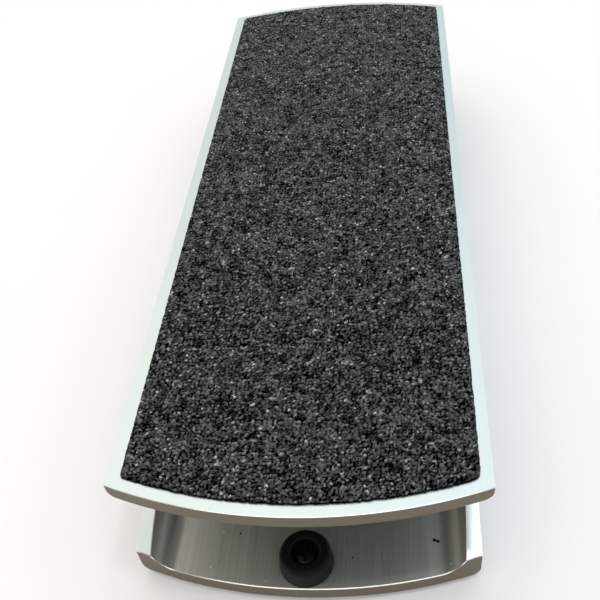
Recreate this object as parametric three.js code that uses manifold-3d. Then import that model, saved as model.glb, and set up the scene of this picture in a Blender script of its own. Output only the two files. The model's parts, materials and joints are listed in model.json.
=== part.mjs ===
// Treadle volume pedal: an aluminium channel base, a rocking treadle plate with a grit sheet,
// and a cord drive that turns a potentiometer between two jack sockets.
// Millimetres, +Z up, +Y from the heel end to the toe end, +X to the player's right.
// The origin is on the ground below the treadle's pivot, at the middle of the pedal.

import * as THREE from "three";
import { mergeVertices } from "three/addons/utils/BufferGeometryUtils.js";
import Module from "manifold-3d";

const wasm = await Module();
wasm.setup();

// ---- Driving dimensions ----

const FOOT_HEIGHT = 1.5;
const FOOT_RADIUS = 8;
const FOOT_X = 30;
const FOOT_Y = 98;

const END_RADIUS = 130; // plan radius of both ends of the treadle and of the base
const GAP = 0.1; // clearance between pieces that touch on flat faces
const FIT = 0.15; // radial clearance of a screw or a bush in its hole

const BASE_WIDTH = 86.3;
const BASE_LENGTH = 257.2; // between the middles of the two end arcs
const FLOOR_THICKNESS = 4.3;
const WALL_THICKNESS = 3.45;
const WALL_END_HEIGHT = 8.5; // wall height at the corner of the base
const WALL_SLOPE_DEG = 11.3;
const WALL_CROWN_HEIGHT = 28.5; // the slope stops here, either side of the pivot
const WALL_CROWN_BEND = 5.5; // half the length of the bend between the slope and the crown
const INNER_FILLET = 7;
const OUTER_FILLET = 2.6;

const PIVOT_HEIGHT = 14.5; // above the underside of the base
const REST_TILT_DEG = 1.6; // the stored pose, heel end down
const PLATE_TOP = 38.25; // above the underside of the base, with the treadle level
const PLATE_THICKNESS = 4.2;
const PLATE_WIDTH = 89;
const PLATE_LENGTH = 253.6;
const PLATE_UNDER_ROUND = 2.2;

const GRIP_MARGIN = 3.2;
const GRIP_OFFSET = [0.3, -0.1]; // the sheet is stuck on a little off centre, in X and Y
const GRIP_THICKNESS = 1.2;
const GRIP_CORNER = 0.6;

const BUMPER_Y = 121.4;
const BUMPER_BASE_RADIUS = 6.9;
const BUMPER_TOP_RADIUS = 6.2;
const BUMPER_HEIGHT = 5.5;
const BUMPER_RECESS_RADIUS = 3.5;
const BUMPER_RECESS_DEPTH = 3.9;
const BUMPER_LIP = 0.4; // width and depth of the worn lip around the recess

const SCREW_RADIUS = 1.5;
const SCREW_HEAD_RADIUS = 2.8;
const SCREW_HEAD_HEIGHT = 1.8;
const SCREW_SLOT_WIDTH = 0.8;
const SCREW_SLOT_DEPTH = 0.9;

const BRACKET_THICKNESS = 4;
const BRACKET_X = 35.7; // middle of the pivot bracket's leg
const BRACKET_HALF_LENGTH = 46;
const BRACKET_FLANGE_WIDTH = 11;
const BRACKET_FLANGE_THICKNESS = 3;
const BRACKET_RING_RADIUS = 6.6;
const BRACKET_SCREW_Y = 34;

const PIVOT_SCREW_RADIUS = 3;
const PIVOT_HEAD_RADIUS = 5.5;
const PIVOT_HEAD_HEIGHT = 2.4;
const HEX_SOCKET_RADIUS = 2.3;
const BUSH_WALL = 1.2;
const BUSH_FLANGE = 1.2;
const BUSH_FLANGE_RADIUS = 5.1;

const POT_HEIGHT = 24.5; // axis of the potentiometer above the underside of the base
const POT_RADIUS = 8.3;
const POT_DEPTH = 8;
const POT_BRACKET_X = 12;
const POT_BRACKET_THICKNESS = 1.5;
const POT_BRACKET_HALF_WIDTH = 8;
const POT_BRACKET_FOOT = 17;
const POT_SCREW_Y = 5;
const POT_BUSHING_RADIUS = 3.8;
const POT_BUSHING_LENGTH = 6;
const POT_NUT_RADIUS = 6;
const POT_NUT_THICKNESS = 2.2;
const POT_WASHER_THICKNESS = 0.5;
const POT_SHAFT_RADIUS = 2.8;

const PULLEY_HALF_WIDTH = 4.6;
const PULLEY_RIM = 1.1;
const PULLEY_GROOVE_RADIUS = 4;
const PULLEY_RIM_RADIUS = 6.6;

const CORD_RADIUS = 0.6;
const CORD_SPACING = 1.45; // between neighbouring turns on the pulley
const ANCHOR_Y = 62;
const SPRING_LENGTH = 17;
const SPRING_COIL_RADIUS = 2.4;
const SPRING_WIRE_RADIUS = 0.4;
const SPRING_TURNS = 10;
const SPRING_POINTS = 7; // to a turn

const JACK_Y = 60;
const JACK_HEIGHT = 12.3; // above the underside of the base
const JACK_BARREL_RADIUS = 4.7;
const JACK_BORE_RADIUS = 3.25;
const JACK_SHOULDER = 12.5; // square front of the jack's frame, inside the wall
const JACK_FRAME_DEPTH = 21;
const JACK_NUT_RADIUS = 6.9;
const JACK_NUT_THICKNESS = 2.2;
const JACK_WASHER_THICKNESS = 0.6;
const JACK_BACKBONE = 1.4; // thickness of the jack's frame along its underside
const JACK_BLOCK = [5.6, 9, 4.2]; // the insulating block behind the frame
const TIP_SPRING_WIDTH = 3.4;
const TIP_SPRING_THICKNESS = 0.5;
const WIRE_RADIUS = 0.65;

// ---- Derived values ----

const radians = THREE.MathUtils.degToRad;
const GROUND_TO_BASE = FOOT_HEIGHT;
const FLOOR_TOP = GROUND_TO_BASE + FLOOR_THICKNESS;
const PIVOT_Z = GROUND_TO_BASE + PIVOT_HEIGHT;
const PLATE_UNDERSIDE = GROUND_TO_BASE + PLATE_TOP - PLATE_THICKNESS;
const POT_Z = GROUND_TO_BASE + POT_HEIGHT;
const JACK_Z = GROUND_TO_BASE + JACK_HEIGHT;
const WRAP_RADIUS = PULLEY_GROOVE_RADIUS + CORD_RADIUS + GAP;
const CORD_Z = POT_Z + WRAP_RADIUS + GAP; // line of the cord, with the treadle level
const WALL_INNER_X = BASE_WIDTH / 2 - WALL_THICKNESS;
const BRACKET_INNER_X = BRACKET_X - BRACKET_THICKNESS / 2;
const BRACKET_OUTER_X = BRACKET_X + BRACKET_THICKNESS / 2;

// ---- Colours and finishes ----

const FINISHES = {
  aluminium: { color: 0xc9ccca, roughness: 0.35, metalness: 1 },
  steel: { color: 0x9a9c9e, roughness: 0.3, metalness: 1 },
  black_steel: { color: 0x1c1c1e, roughness: 0.45, metalness: 1 },
  brass: { color: 0xb89a5a, roughness: 0.35, metalness: 1 },
  grit: { color: 0x1b1c1e, roughness: 0.9, metalness: 0 },
  rubber: { color: 0x141414, roughness: 0.7, metalness: 0 },
  nylon: { color: 0xe6e2d6, roughness: 0.5, metalness: 0 },
  phenolic: { color: 0x6a4326, roughness: 0.6, metalness: 0 },
  cord: { color: 0xd8d2c0, roughness: 0.8, metalness: 0 },
  red_wire: { color: 0xa01f1c, roughness: 0.5, metalness: 0 },
  black_wire: { color: 0x1a1a1c, roughness: 0.5, metalness: 0 },
};

const pedal = new THREE.Group();
const treadle = new THREE.Group(); // turned about the pivot into the stored pose
treadle.position.set(0, 0, PIVOT_Z);
treadle.rotation.x = radians(REST_TILT_DEG);
pedal.add(treadle);

// ---- Helpers ----

function solidFrom(geometry) {
  const bare = geometry.index ? geometry.toNonIndexed() : geometry.clone();
  bare.deleteAttribute("normal");
  bare.deleteAttribute("uv");
  const merged = mergeVertices(bare, 1e-4);
  return new wasm.Manifold(
    new wasm.Mesh({
      numProp: 3,
      vertProperties: merged.attributes.position.array,
      triVerts: new Uint32Array(merged.index.array),
    }),
  );
}

function geometryFrom(solid) {
  const mesh = solid.getMesh();
  const geometry = new THREE.BufferGeometry();
  geometry.setAttribute("position", new THREE.BufferAttribute(mesh.vertProperties, 3));
  geometry.setIndex(new THREE.BufferAttribute(mesh.triVerts, 1));
  return geometry.toNonIndexed();
}

const without = (body, ...tools) =>
  geometryFrom(tools.reduce((left, tool) => left.subtract(solidFrom(tool)), solidFrom(body)));

const joined = (...bodies) =>
  geometryFrom(bodies.map(solidFrom).reduce((left, right) => left.add(right)));

const common = (...bodies) =>
  geometryFrom(bodies.map(solidFrom).reduce((left, right) => left.intersect(right)));

function addPiece(parent, name, finish, geometry) {
  geometry.computeVertexNormals();
  const piece = new THREE.Mesh(geometry, new THREE.MeshStandardMaterial(FINISHES[finish]));
  piece.name = name;
  parent.add(piece);
}

const addToBase = (name, finish, geometry) => addPiece(pedal, name, finish, geometry);

// Pieces of the treadle are drawn in the pedal's frame with the treadle level.
const addToTreadle = (name, finish, geometry) =>
  addPiece(treadle, name, finish, geometry.translate(0, 0, -PIVOT_Z));

const box = (width, depth, height, x, y, z) =>
  new THREE.BoxGeometry(width, depth, height).translate(x, y, z);

// A cylinder along X from x0 to x1.
const barX = (radius, x0, x1, y, z, sides = 20) =>
  new THREE.CylinderGeometry(radius, radius, Math.abs(x1 - x0), sides)
    .rotateZ(Math.PI / 2)
    .translate((x0 + x1) / 2, y, z);

// A cylinder along Z from z0 to z1.
const barZ = (radius, z0, z1, x, y, sides = 12) =>
  new THREE.CylinderGeometry(radius, radius, z1 - z0, sides)
    .rotateX(Math.PI / 2)
    .translate(x, y, (z0 + z1) / 2);

const tubeX = (outer, inner, x0, x1, y, z, sides = 20) =>
  without(barX(outer, x0, x1, y, z, sides), barX(inner, x0 - 1, x1 + 1, y, z, sides));

// An outline in the YZ plane, pushed along X between x0 and x1.
const prismX = (shape, x0, x1, curveSegments = 12) =>
  new THREE.ExtrudeGeometry(shape, { depth: x1 - x0, bevelEnabled: false, curveSegments })
    .rotateY(Math.PI / 2)
    .rotateX(Math.PI / 2)
    .translate(x0, 0, 0);

// An outline in the XZ plane, pushed along Y and centred on the pivot.
const prismY = (shape, length, curveSegments = 6) =>
  new THREE.ExtrudeGeometry(shape, { depth: length, bevelEnabled: false, curveSegments })
    .rotateX(Math.PI / 2)
    .translate(0, length / 2, 0);

// An outline in the XY plane, pushed along Z between z0 and z1.
const prismZ = (shape, z0, z1, curveSegments = 24) =>
  new THREE.ExtrudeGeometry(shape, { depth: z1 - z0, bevelEnabled: false, curveSegments })
    .translate(0, 0, z0);

// A rectangle whose two ends bulge out as arcs, seen from above.
function bowedOutline(width, length, endRadius, corner = 0) {
  const half = width / 2;
  const centreY = length / 2 - endRadius;
  const swing = Math.asin((half - corner) / endRadius);
  const cornerY = centreY + endRadius * Math.cos(swing);
  const shape = new THREE.Shape();
  shape.moveTo(half, -cornerY + corner);
  shape.lineTo(half, cornerY - corner);
  if (corner > 0) shape.quadraticCurveTo(half, cornerY - corner / 4, half - corner, cornerY);
  shape.absarc(0, centreY, endRadius, Math.PI / 2 - swing, Math.PI / 2 + swing, false);
  if (corner > 0) shape.quadraticCurveTo(-half, cornerY - corner / 4, -half, cornerY - corner);
  shape.lineTo(-half, -cornerY + corner);
  if (corner > 0) shape.quadraticCurveTo(-half, -cornerY + corner / 4, -half + corner, -cornerY);
  shape.absarc(0, -centreY, endRadius, -Math.PI / 2 - swing, -Math.PI / 2 + swing, false);
  if (corner > 0) shape.quadraticCurveTo(half, -cornerY + corner / 4, half, -cornerY + corner);
  return shape;
}

// A round screw head with a cross recess, and its shank, pointing down from its seat at z = 0.
function crossScrew(shankLength) {
  const profile = [
    [0, -shankLength],
    [SCREW_RADIUS - 0.4, -shankLength],
    [SCREW_RADIUS, -shankLength + 0.6],
    [SCREW_RADIUS, 0],
    [SCREW_HEAD_RADIUS, 0],
    [SCREW_HEAD_RADIUS, SCREW_HEAD_HEIGHT * 0.45],
    [SCREW_HEAD_RADIUS * 0.8, SCREW_HEAD_HEIGHT * 0.85],
    [SCREW_HEAD_RADIUS * 0.45, SCREW_HEAD_HEIGHT],
    [0, SCREW_HEAD_HEIGHT],
  ].map(([r, z]) => new THREE.Vector2(r, z));
  const body = new THREE.LatheGeometry(profile, 14).rotateX(Math.PI / 2);
  const reach = SCREW_HEAD_RADIUS * 1.1;
  const slotZ = SCREW_HEAD_HEIGHT - SCREW_SLOT_DEPTH / 2 + GAP;
  return without(
    body,
    box(reach, SCREW_SLOT_WIDTH, SCREW_SLOT_DEPTH, 0, 0, slotZ),
    box(SCREW_SLOT_WIDTH, reach, SCREW_SLOT_DEPTH, 0, 0, slotZ),
  );
}

// A round rod along a route of points; its section has the given number of sides.
function rod(points, radius, sides, steps) {
  const section = new THREE.Shape();
  for (let i = 0; i < sides; i++) {
    const angle = (2 * Math.PI * i) / sides;
    const place = [radius * Math.cos(angle), radius * Math.sin(angle)];
    if (i === 0) section.moveTo(...place);
    else section.lineTo(...place);
  }
  const route = new THREE.CatmullRomCurve3(points, false, "centripetal");
  return new THREE.ExtrudeGeometry(section, { steps, extrudePath: route, bevelEnabled: false });
}

// ---- Base ----

// The channel's section, across the pedal, tall enough for the crown.
function channelSection() {
  const half = BASE_WIDTH / 2;
  const bottom = GROUND_TO_BASE;
  const top = GROUND_TO_BASE + WALL_CROWN_HEIGHT;
  const filletX = WALL_INNER_X - INNER_FILLET;
  const filletZ = FLOOR_TOP + INNER_FILLET;
  const shape = new THREE.Shape();
  shape.moveTo(-half + OUTER_FILLET, bottom);
  shape.lineTo(half - OUTER_FILLET, bottom);
  shape.absarc(half - OUTER_FILLET, bottom + OUTER_FILLET, OUTER_FILLET, -Math.PI / 2, 0, false);
  shape.lineTo(half, top);
  shape.lineTo(WALL_INNER_X, top);
  shape.lineTo(WALL_INNER_X, filletZ);
  shape.absarc(filletX, filletZ, INNER_FILLET, 0, -Math.PI / 2, true);
  shape.lineTo(-filletX, FLOOR_TOP);
  shape.absarc(-filletX, filletZ, INNER_FILLET, -Math.PI / 2, -Math.PI, true);
  shape.lineTo(-WALL_INNER_X, top);
  shape.lineTo(-half, top);
  shape.lineTo(-half, bottom + OUTER_FILLET);
  shape.absarc(-half + OUTER_FILLET, bottom + OUTER_FILLET, OUTER_FILLET, Math.PI, 1.5 * Math.PI, false);
  return shape;
}

// The side view of the walls: low at the ends, sloping up to a flat crown over the pivot.
function wallProfile() {
  const endY = BASE_LENGTH / 2;
  const slope = Math.tan(radians(WALL_SLOPE_DEG));
  const cornerY = endY - END_RADIUS + Math.sqrt(END_RADIUS ** 2 - (BASE_WIDTH / 2) ** 2);
  const heightAt = (y) => GROUND_TO_BASE + WALL_END_HEIGHT + (cornerY - y) * slope;
  const crownTop = GROUND_TO_BASE + WALL_CROWN_HEIGHT;
  const crownY = cornerY - (WALL_CROWN_HEIGHT - WALL_END_HEIGHT) / slope;
  const bendStart = crownY + WALL_CROWN_BEND;
  const bendEnd = crownY - WALL_CROWN_BEND;
  const shape = new THREE.Shape();
  shape.moveTo(-endY - 1, 0);
  shape.lineTo(endY + 1, 0);
  shape.lineTo(endY + 1, heightAt(endY + 1));
  shape.lineTo(bendStart, heightAt(bendStart));
  shape.quadraticCurveTo(crownY, crownTop, bendEnd, crownTop);
  shape.lineTo(-bendEnd, crownTop);
  shape.quadraticCurveTo(-crownY, crownTop, -bendStart, heightAt(bendStart));
  shape.lineTo(-endY - 1, heightAt(endY + 1));
  return shape;
}

function addBaseChannel() {
  const half = BASE_WIDTH / 2;
  const outline = bowedOutline(BASE_WIDTH, BASE_LENGTH, END_RADIUS);
  const blank = common(
    prismY(channelSection(), BASE_LENGTH + 2),
    prismX(wallProfile(), -half - 1, half + 1, 5),
    prismZ(outline, 0, GROUND_TO_BASE + WALL_CROWN_HEIGHT + 1),
  );
  const holes = [];
  for (const side of [-1, 1]) {
    const outerX = side * (half + 1);
    const innerX = side * (WALL_INNER_X - INNER_FILLET);
    holes.push(barX(PIVOT_SCREW_RADIUS + FIT, innerX, outerX, 0, PIVOT_Z));
    holes.push(barX(JACK_BARREL_RADIUS + FIT, innerX, outerX, JACK_Y, JACK_Z));
    for (const [x, y] of [[0, BUMPER_Y], [potScrewX(), POT_SCREW_Y]]) {
      holes.push(barZ(SCREW_RADIUS + FIT, GROUND_TO_BASE - 1, FLOOR_TOP + 1, x, side * y, 16));
    }
  }
  addToBase("base_channel", "aluminium", without(blank, ...holes));
}

function addFeet() {
  const profile = [
    [0, 0],
    [FOOT_RADIUS - 0.5, 0],
    [FOOT_RADIUS, 0.5],
    [FOOT_RADIUS, FOOT_HEIGHT],
    [0, FOOT_HEIGHT],
  ].map(([r, z]) => new THREE.Vector2(r, z));
  for (const [end, y] of [["heel", -FOOT_Y], ["toe", FOOT_Y]]) {
    for (const [side, x] of [["left", -FOOT_X], ["right", FOOT_X]]) {
      const foot = new THREE.LatheGeometry(profile, 20).rotateX(Math.PI / 2).translate(x, y, 0);
      addToBase(`foot_${end}_${side}`, "rubber", foot);
    }
  }
}

// A rubber stop with a countersunk middle, held down by its own screw.
function addBumpers() {
  const seat = BUMPER_HEIGHT - BUMPER_RECESS_DEPTH;
  const hole = SCREW_RADIUS + FIT;
  const profile = [
    [hole, 0],
    [BUMPER_BASE_RADIUS, 0],
    [BUMPER_TOP_RADIUS, BUMPER_HEIGHT - BUMPER_LIP],
    [BUMPER_TOP_RADIUS - BUMPER_LIP, BUMPER_HEIGHT],
    [BUMPER_RECESS_RADIUS + BUMPER_LIP, BUMPER_HEIGHT],
    [BUMPER_RECESS_RADIUS, BUMPER_HEIGHT - BUMPER_LIP],
    [BUMPER_RECESS_RADIUS, seat],
    [hole, seat],
    [hole, 0],
  ].map(([r, z]) => new THREE.Vector2(r, z));
  for (const [end, y] of [["heel", -BUMPER_Y], ["toe", BUMPER_Y]]) {
    const bumper = new THREE.LatheGeometry(profile, 24).rotateX(Math.PI / 2);
    addToBase(`${end}_bumper`, "rubber", bumper.translate(0, y, FLOOR_TOP + GAP));
    const screw = crossScrew(seat + FLOOR_THICKNESS + GAP);
    addToBase(`${end}_bumper_screw`, "black_steel", screw.translate(0, y, FLOOR_TOP + 2 * GAP + seat));
  }
}

// A shoulder screw through each wall; the treadle's bushes turn on them.
function addPivotScrews() {
  for (const [side, sign] of [["left", -1], ["right", 1]]) {
    const seatX = sign * (BASE_WIDTH / 2 + GAP);
    const headX = seatX + sign * PIVOT_HEAD_HEIGHT;
    const body = joined(
      barX(PIVOT_SCREW_RADIUS, sign * (BRACKET_INNER_X - 1), seatX, 0, PIVOT_Z, 20),
      barX(PIVOT_HEAD_RADIUS, seatX, headX, 0, PIVOT_Z, 20),
    );
    const socket = barX(HEX_SOCKET_RADIUS, headX - sign * 1.4, headX + sign, 0, PIVOT_Z, 6);
    addToBase(`pivot_screw_${side}`, "steel", without(body, socket));
  }
}

// ---- Potentiometer on its bracket ----

function potScrewX() {
  return POT_BRACKET_X + POT_BRACKET_FOOT - 5;
}

function addPotBracket() {
  const footZ = FLOOR_TOP + GAP;
  const profile = new THREE.Shape();
  profile.moveTo(-POT_BRACKET_HALF_WIDTH, footZ);
  profile.lineTo(POT_BRACKET_HALF_WIDTH, footZ);
  profile.lineTo(POT_BRACKET_HALF_WIDTH, POT_Z);
  profile.absarc(0, POT_Z, POT_BRACKET_HALF_WIDTH, 0, Math.PI, false);
  const upright = prismX(profile, POT_BRACKET_X, POT_BRACKET_X + POT_BRACKET_THICKNESS);
  const foot = box(
    POT_BRACKET_FOOT, 2 * POT_BRACKET_HALF_WIDTH, POT_BRACKET_THICKNESS,
    POT_BRACKET_X + POT_BRACKET_FOOT / 2, 0, footZ + POT_BRACKET_THICKNESS / 2,
  );
  const shaftHole = barX(
    POT_BUSHING_RADIUS + FIT, POT_BRACKET_X - 1, POT_BRACKET_X + POT_BRACKET_THICKNESS + 1, 0, POT_Z,
  );
  const screwHoles = [-1, 1].map((side) =>
    barZ(SCREW_RADIUS + FIT, footZ - 1, footZ + 3, potScrewX(), side * POT_SCREW_Y, 16));
  addToBase("pot_bracket", "steel", without(joined(upright, foot), shaftHole, ...screwHoles));
  for (const [end, side] of [["heel", -1], ["toe", 1]]) {
    const seatZ = footZ + POT_BRACKET_THICKNESS + GAP;
    const screw = crossScrew(FLOOR_THICKNESS + POT_BRACKET_THICKNESS);
    addToBase(
      `pot_bracket_screw_${end}`, "steel", screw.translate(potScrewX(), side * POT_SCREW_Y, seatZ),
    );
  }
}

function addPotentiometer() {
  const waferX = POT_BRACKET_X + POT_BRACKET_THICKNESS + GAP;
  const canX = waferX + 2 + GAP;
  const bushingEnd = POT_BRACKET_X - POT_BUSHING_LENGTH;
  const bore = POT_SHAFT_RADIUS + FIT;
  const bushing = joined(
    tubeX(POT_BUSHING_RADIUS, bore, bushingEnd, waferX + 1, 0, POT_Z),
    tubeX(POT_RADIUS - 1, bore, waferX, waferX + 1.1, 0, POT_Z),
  );
  addToBase("pot_bushing", "brass", bushing);
  const waferBody = joined(
    tubeX(POT_RADIUS - 0.4, bore, waferX + 1.2, canX + 0.6, 0, POT_Z),
    box(canX - waferX - 0.8, 12, 6, (waferX + canX + 1.5) / 2 + 0.05, 0, POT_Z - POT_RADIUS - 1),
  );
  const notch = box(20, 30, 30, waferX + 1.2 - 10, 0, POT_Z);
  addToBase("pot_wafer", "phenolic", without(waferBody, notch));
  const canStart = canX + 0.7;
  const can = without(
    barX(POT_RADIUS, canStart, canStart + POT_DEPTH, 0, POT_Z, 32),
    barX(POT_RADIUS - 0.8, canStart - 1, canStart + POT_DEPTH - 0.8, 0, POT_Z, 32),
  );
  addToBase("pot_can", "steel", can);
  const washerX = POT_BRACKET_X - GAP;
  const washer = tubeX(
    POT_NUT_RADIUS, POT_BUSHING_RADIUS + FIT, washerX - POT_WASHER_THICKNESS, washerX, 0, POT_Z,
  );
  addToBase("pot_washer", "steel", washer);
  const nutX = washerX - POT_WASHER_THICKNESS - GAP;
  const nut = without(
    barX(POT_NUT_RADIUS, nutX - POT_NUT_THICKNESS, nutX, 0, POT_Z, 6),
    barX(POT_BUSHING_RADIUS + FIT, nutX - POT_NUT_THICKNESS - 1, nutX + 1, 0, POT_Z),
  );
  addToBase("pot_nut", "brass", nut);
  const lugZ = POT_Z - POT_RADIUS - 4 - GAP;
  for (const [name, y] of [["pot_lug_ground", -4], ["pot_lug_wiper", 0], ["pot_lug_hot", 4]]) {
    const tab = without(
      box(0.5, 2.2, 5, canX + 2, y, lugZ + 0.9),
      barX(0.6, canX, canX + 4, y, lugZ, 8),
    );
    addToBase(name, "steel", tab);
  }
}

// ---- Parts that turn with the potentiometer ----

function addRotor() {
  const shaftEnd = -PULLEY_HALF_WIDTH - 1;
  addToBase("pot_shaft", "brass", barX(POT_SHAFT_RADIUS, shaftEnd, POT_BRACKET_X + 11, 0, POT_Z));
  const half = PULLEY_HALF_WIDTH;
  const inner = POT_SHAFT_RADIUS + FIT;
  const profile = [
    [inner, -half],
    [PULLEY_RIM_RADIUS, -half],
    [PULLEY_RIM_RADIUS, -half + PULLEY_RIM],
    [PULLEY_GROOVE_RADIUS, -half + PULLEY_RIM + 0.6],
    [PULLEY_GROOVE_RADIUS, half - PULLEY_RIM - 0.6],
    [PULLEY_RIM_RADIUS, half - PULLEY_RIM],
    [PULLEY_RIM_RADIUS, half],
    [inner, half],
    [inner, -half],
  ].map(([r, x]) => new THREE.Vector2(r, x));
  const pulley = new THREE.LatheGeometry(profile, 20).rotateZ(-Math.PI / 2).translate(0, 0, POT_Z);
  addToBase("cord_pulley", "brass", pulley);
  const wrap = new THREE.TorusGeometry(WRAP_RADIUS, CORD_RADIUS, 6, 24).rotateY(Math.PI / 2);
  addToBase("drive_cord_wrap", "cord", wrap.translate(0, 0, POT_Z));
}

// ---- Jacks ----

function addJack(name, sign) {
  const wallOut = sign * (BASE_WIDTH / 2);
  const shoulderX = sign * (WALL_INNER_X - INNER_FILLET + 3.2);
  const stack = JACK_WASHER_THICKNESS + 2 * GAP + JACK_NUT_THICKNESS;
  const nutEnd = wallOut + sign * (stack + 0.6);
  const frameEnd = shoulderX - sign * JACK_FRAME_DEPTH;
  const half = JACK_SHOULDER / 2;
  const backboneZ = JACK_Z - half + JACK_BACKBONE / 2;
  const barrel = joined(
    barX(JACK_BARREL_RADIUS, shoulderX, nutEnd, JACK_Y, JACK_Z),
    box(1.6, JACK_SHOULDER, JACK_SHOULDER, shoulderX - sign * 0.8, JACK_Y, JACK_Z),
    box(
      JACK_FRAME_DEPTH, JACK_SHOULDER, JACK_BACKBONE,
      shoulderX - (sign * JACK_FRAME_DEPTH) / 2, JACK_Y, backboneZ,
    ),
  );
  const bore = barX(JACK_BORE_RADIUS, frameEnd, nutEnd + sign, JACK_Y, JACK_Z);
  addToBase(`${name}_jack_frame`, "brass", without(barrel, bore));
  const washerX = wallOut + sign * GAP;
  const washerSpan = ordered(washerX, washerX + sign * JACK_WASHER_THICKNESS);
  addToBase(
    `${name}_jack_washer`, "steel",
    tubeX(JACK_NUT_RADIUS + 0.6, JACK_BARREL_RADIUS + FIT, ...washerSpan, JACK_Y, JACK_Z),
  );
  const nutX = washerX + sign * (JACK_WASHER_THICKNESS + GAP);
  const nut = without(
    barX(JACK_NUT_RADIUS, nutX, nutX + sign * JACK_NUT_THICKNESS, JACK_Y, JACK_Z, 6),
    barX(JACK_BARREL_RADIUS + FIT, nutX - sign, nutX + sign * (JACK_NUT_THICKNESS + 1), JACK_Y, JACK_Z),
  );
  addToBase(`${name}_jack_nut`, "steel", nut);
  // The stack at the back of the frame: an insulating block with the tip spring clamped in it.
  const stackX = frameEnd + sign * 3;
  const stackZ = JACK_Z - half + JACK_BACKBONE + GAP;
  const block = box(...JACK_BLOCK, stackX, JACK_Y, stackZ + JACK_BLOCK[2] / 2);
  addToBase(`${name}_jack_insulator`, "phenolic", block);
  const springBase = stackZ + JACK_BLOCK[2] + GAP;
  const arm = new THREE.Shape();
  arm.moveTo(0, 0);
  arm.lineTo(7, 0);
  arm.lineTo(13, 1.6);
  arm.lineTo(15, 0.6);
  arm.lineTo(15.4, 1);
  arm.lineTo(13, 2.2);
  arm.lineTo(6.9, TIP_SPRING_THICKNESS);
  arm.lineTo(0, TIP_SPRING_THICKNESS);
  const spring = new THREE.ExtrudeGeometry(arm, { depth: TIP_SPRING_WIDTH, bevelEnabled: false });
  spring.rotateX(Math.PI / 2);
  if (sign < 0) spring.rotateZ(Math.PI);
  const springY = JACK_Y + (sign * TIP_SPRING_WIDTH) / 2;
  addToBase(
    `${name}_jack_tip_spring`, "steel", spring.translate(stackX - sign * 6, springY, springBase),
  );
  const tipZ = springBase + TIP_SPRING_THICKNESS / 2;
  return { tailX: stackX - sign * 6.4, tipZ, sleeveZ: backboneZ, frameEnd };
}

const ordered = (a, b) => [Math.min(a, b), Math.max(a, b)];

// ---- Wires ----

function addWire(name, finish, places) {
  const points = places.map(([x, y, z]) => new THREE.Vector3(x, y, z));
  addToBase(name, finish, rod(points, WIRE_RADIUS, 8, 18));
}

function addWires(input, output) {
  const lugX = POT_BRACKET_X + POT_BRACKET_THICKNESS + 4.2;
  const lugZ = POT_Z - POT_RADIUS - 5.4;
  const lane = FLOOR_TOP + WIRE_RADIUS + 0.8;
  addWire("input_hot_wire", "red_wire", [
    [lugX + 1.4, 4, lugZ], [lugX + 2.4, 9, lugZ - 1], [20, 22, lane + 1], [17, 40, lane + 1],
    [12, 52, lane + 3], [input.tailX - 1.4, JACK_Y, input.tipZ],
  ]);
  addWire("input_ground_wire", "black_wire", [
    [lugX + 1.4, -4, lugZ], [lugX + 6, -9, lane + 2], [26, -12, lane + 2], [28, 0, lane + 1.9],
    [27, 20, lane], [22, 38, lane], [12, 50, lane],
    [input.frameEnd - 1.8, JACK_Y - 3, input.sleeveZ + 0.5],
  ]);
  addWire("output_hot_wire", "red_wire", [
    [lugX - 1.7, 0, lugZ], [lugX - 1.7, 9.5, lugZ - 1.6], [8, 16, lane + 1], [-2, 34, lane],
    [-8, 50, lane + 2], [output.tailX + 1.4, JACK_Y, output.tipZ],
  ]);
  addWire("output_ground_wire", "black_wire", [
    [input.frameEnd - 1.8, JACK_Y + 4, input.sleeveZ + 0.5], [5, 66, lane], [-5, 66, lane],
    [output.frameEnd + 1.8, JACK_Y + 4, output.sleeveZ + 0.5],
  ]);
}

// ---- Treadle ----

function addTreadlePlate() {
  const half = PLATE_WIDTH / 2;
  const top = GROUND_TO_BASE + PLATE_TOP;
  const section = new THREE.Shape();
  const round = PLATE_UNDER_ROUND;
  section.moveTo(-half + round, PLATE_UNDERSIDE);
  section.lineTo(half - round, PLATE_UNDERSIDE);
  section.absarc(half - round, PLATE_UNDERSIDE + round, round, -Math.PI / 2, 0, false);
  section.lineTo(half, top);
  section.lineTo(-half, top);
  section.lineTo(-half, PLATE_UNDERSIDE + round);
  section.absarc(-half + round, PLATE_UNDERSIDE + round, round, Math.PI, 1.5 * Math.PI, false);
  const outline = bowedOutline(PLATE_WIDTH, PLATE_LENGTH, END_RADIUS);
  const blank = common(
    prismY(section, PLATE_LENGTH + 2, 5),
    prismZ(outline, PLATE_UNDERSIDE - 1, top + 1),
  );
  const holes = treadleScrewPlaces().map(([x, y]) =>
    barZ(SCREW_RADIUS + FIT, PLATE_UNDERSIDE - 1, top - 0.8, x, y, 16));
  addToTreadle("treadle_plate", "aluminium", without(blank, ...holes));
}

// Holes for the four bracket screws and the two cord anchors.
function treadleScrewPlaces() {
  const places = [[0, -ANCHOR_Y], [0, ANCHOR_Y]];
  for (const x of [-bracketScrewX(), bracketScrewX()]) {
    for (const y of [-BRACKET_SCREW_Y, BRACKET_SCREW_Y]) places.push([x, y]);
  }
  return places;
}

function bracketScrewX() {
  return BRACKET_INNER_X - (BRACKET_FLANGE_WIDTH - BRACKET_THICKNESS) / 2;
}

function addGripSheet() {
  const outline = bowedOutline(
    PLATE_WIDTH - 2 * GRIP_MARGIN, PLATE_LENGTH - 2 * GRIP_MARGIN, END_RADIUS - GRIP_MARGIN, GRIP_CORNER,
  );
  const seat = GROUND_TO_BASE + PLATE_TOP + GAP;
  const sheet = prismZ(outline, seat, seat + GRIP_THICKNESS, 12).translate(...GRIP_OFFSET, 0);
  addToTreadle("grip_sheet", "grit", sheet);
}

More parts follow.
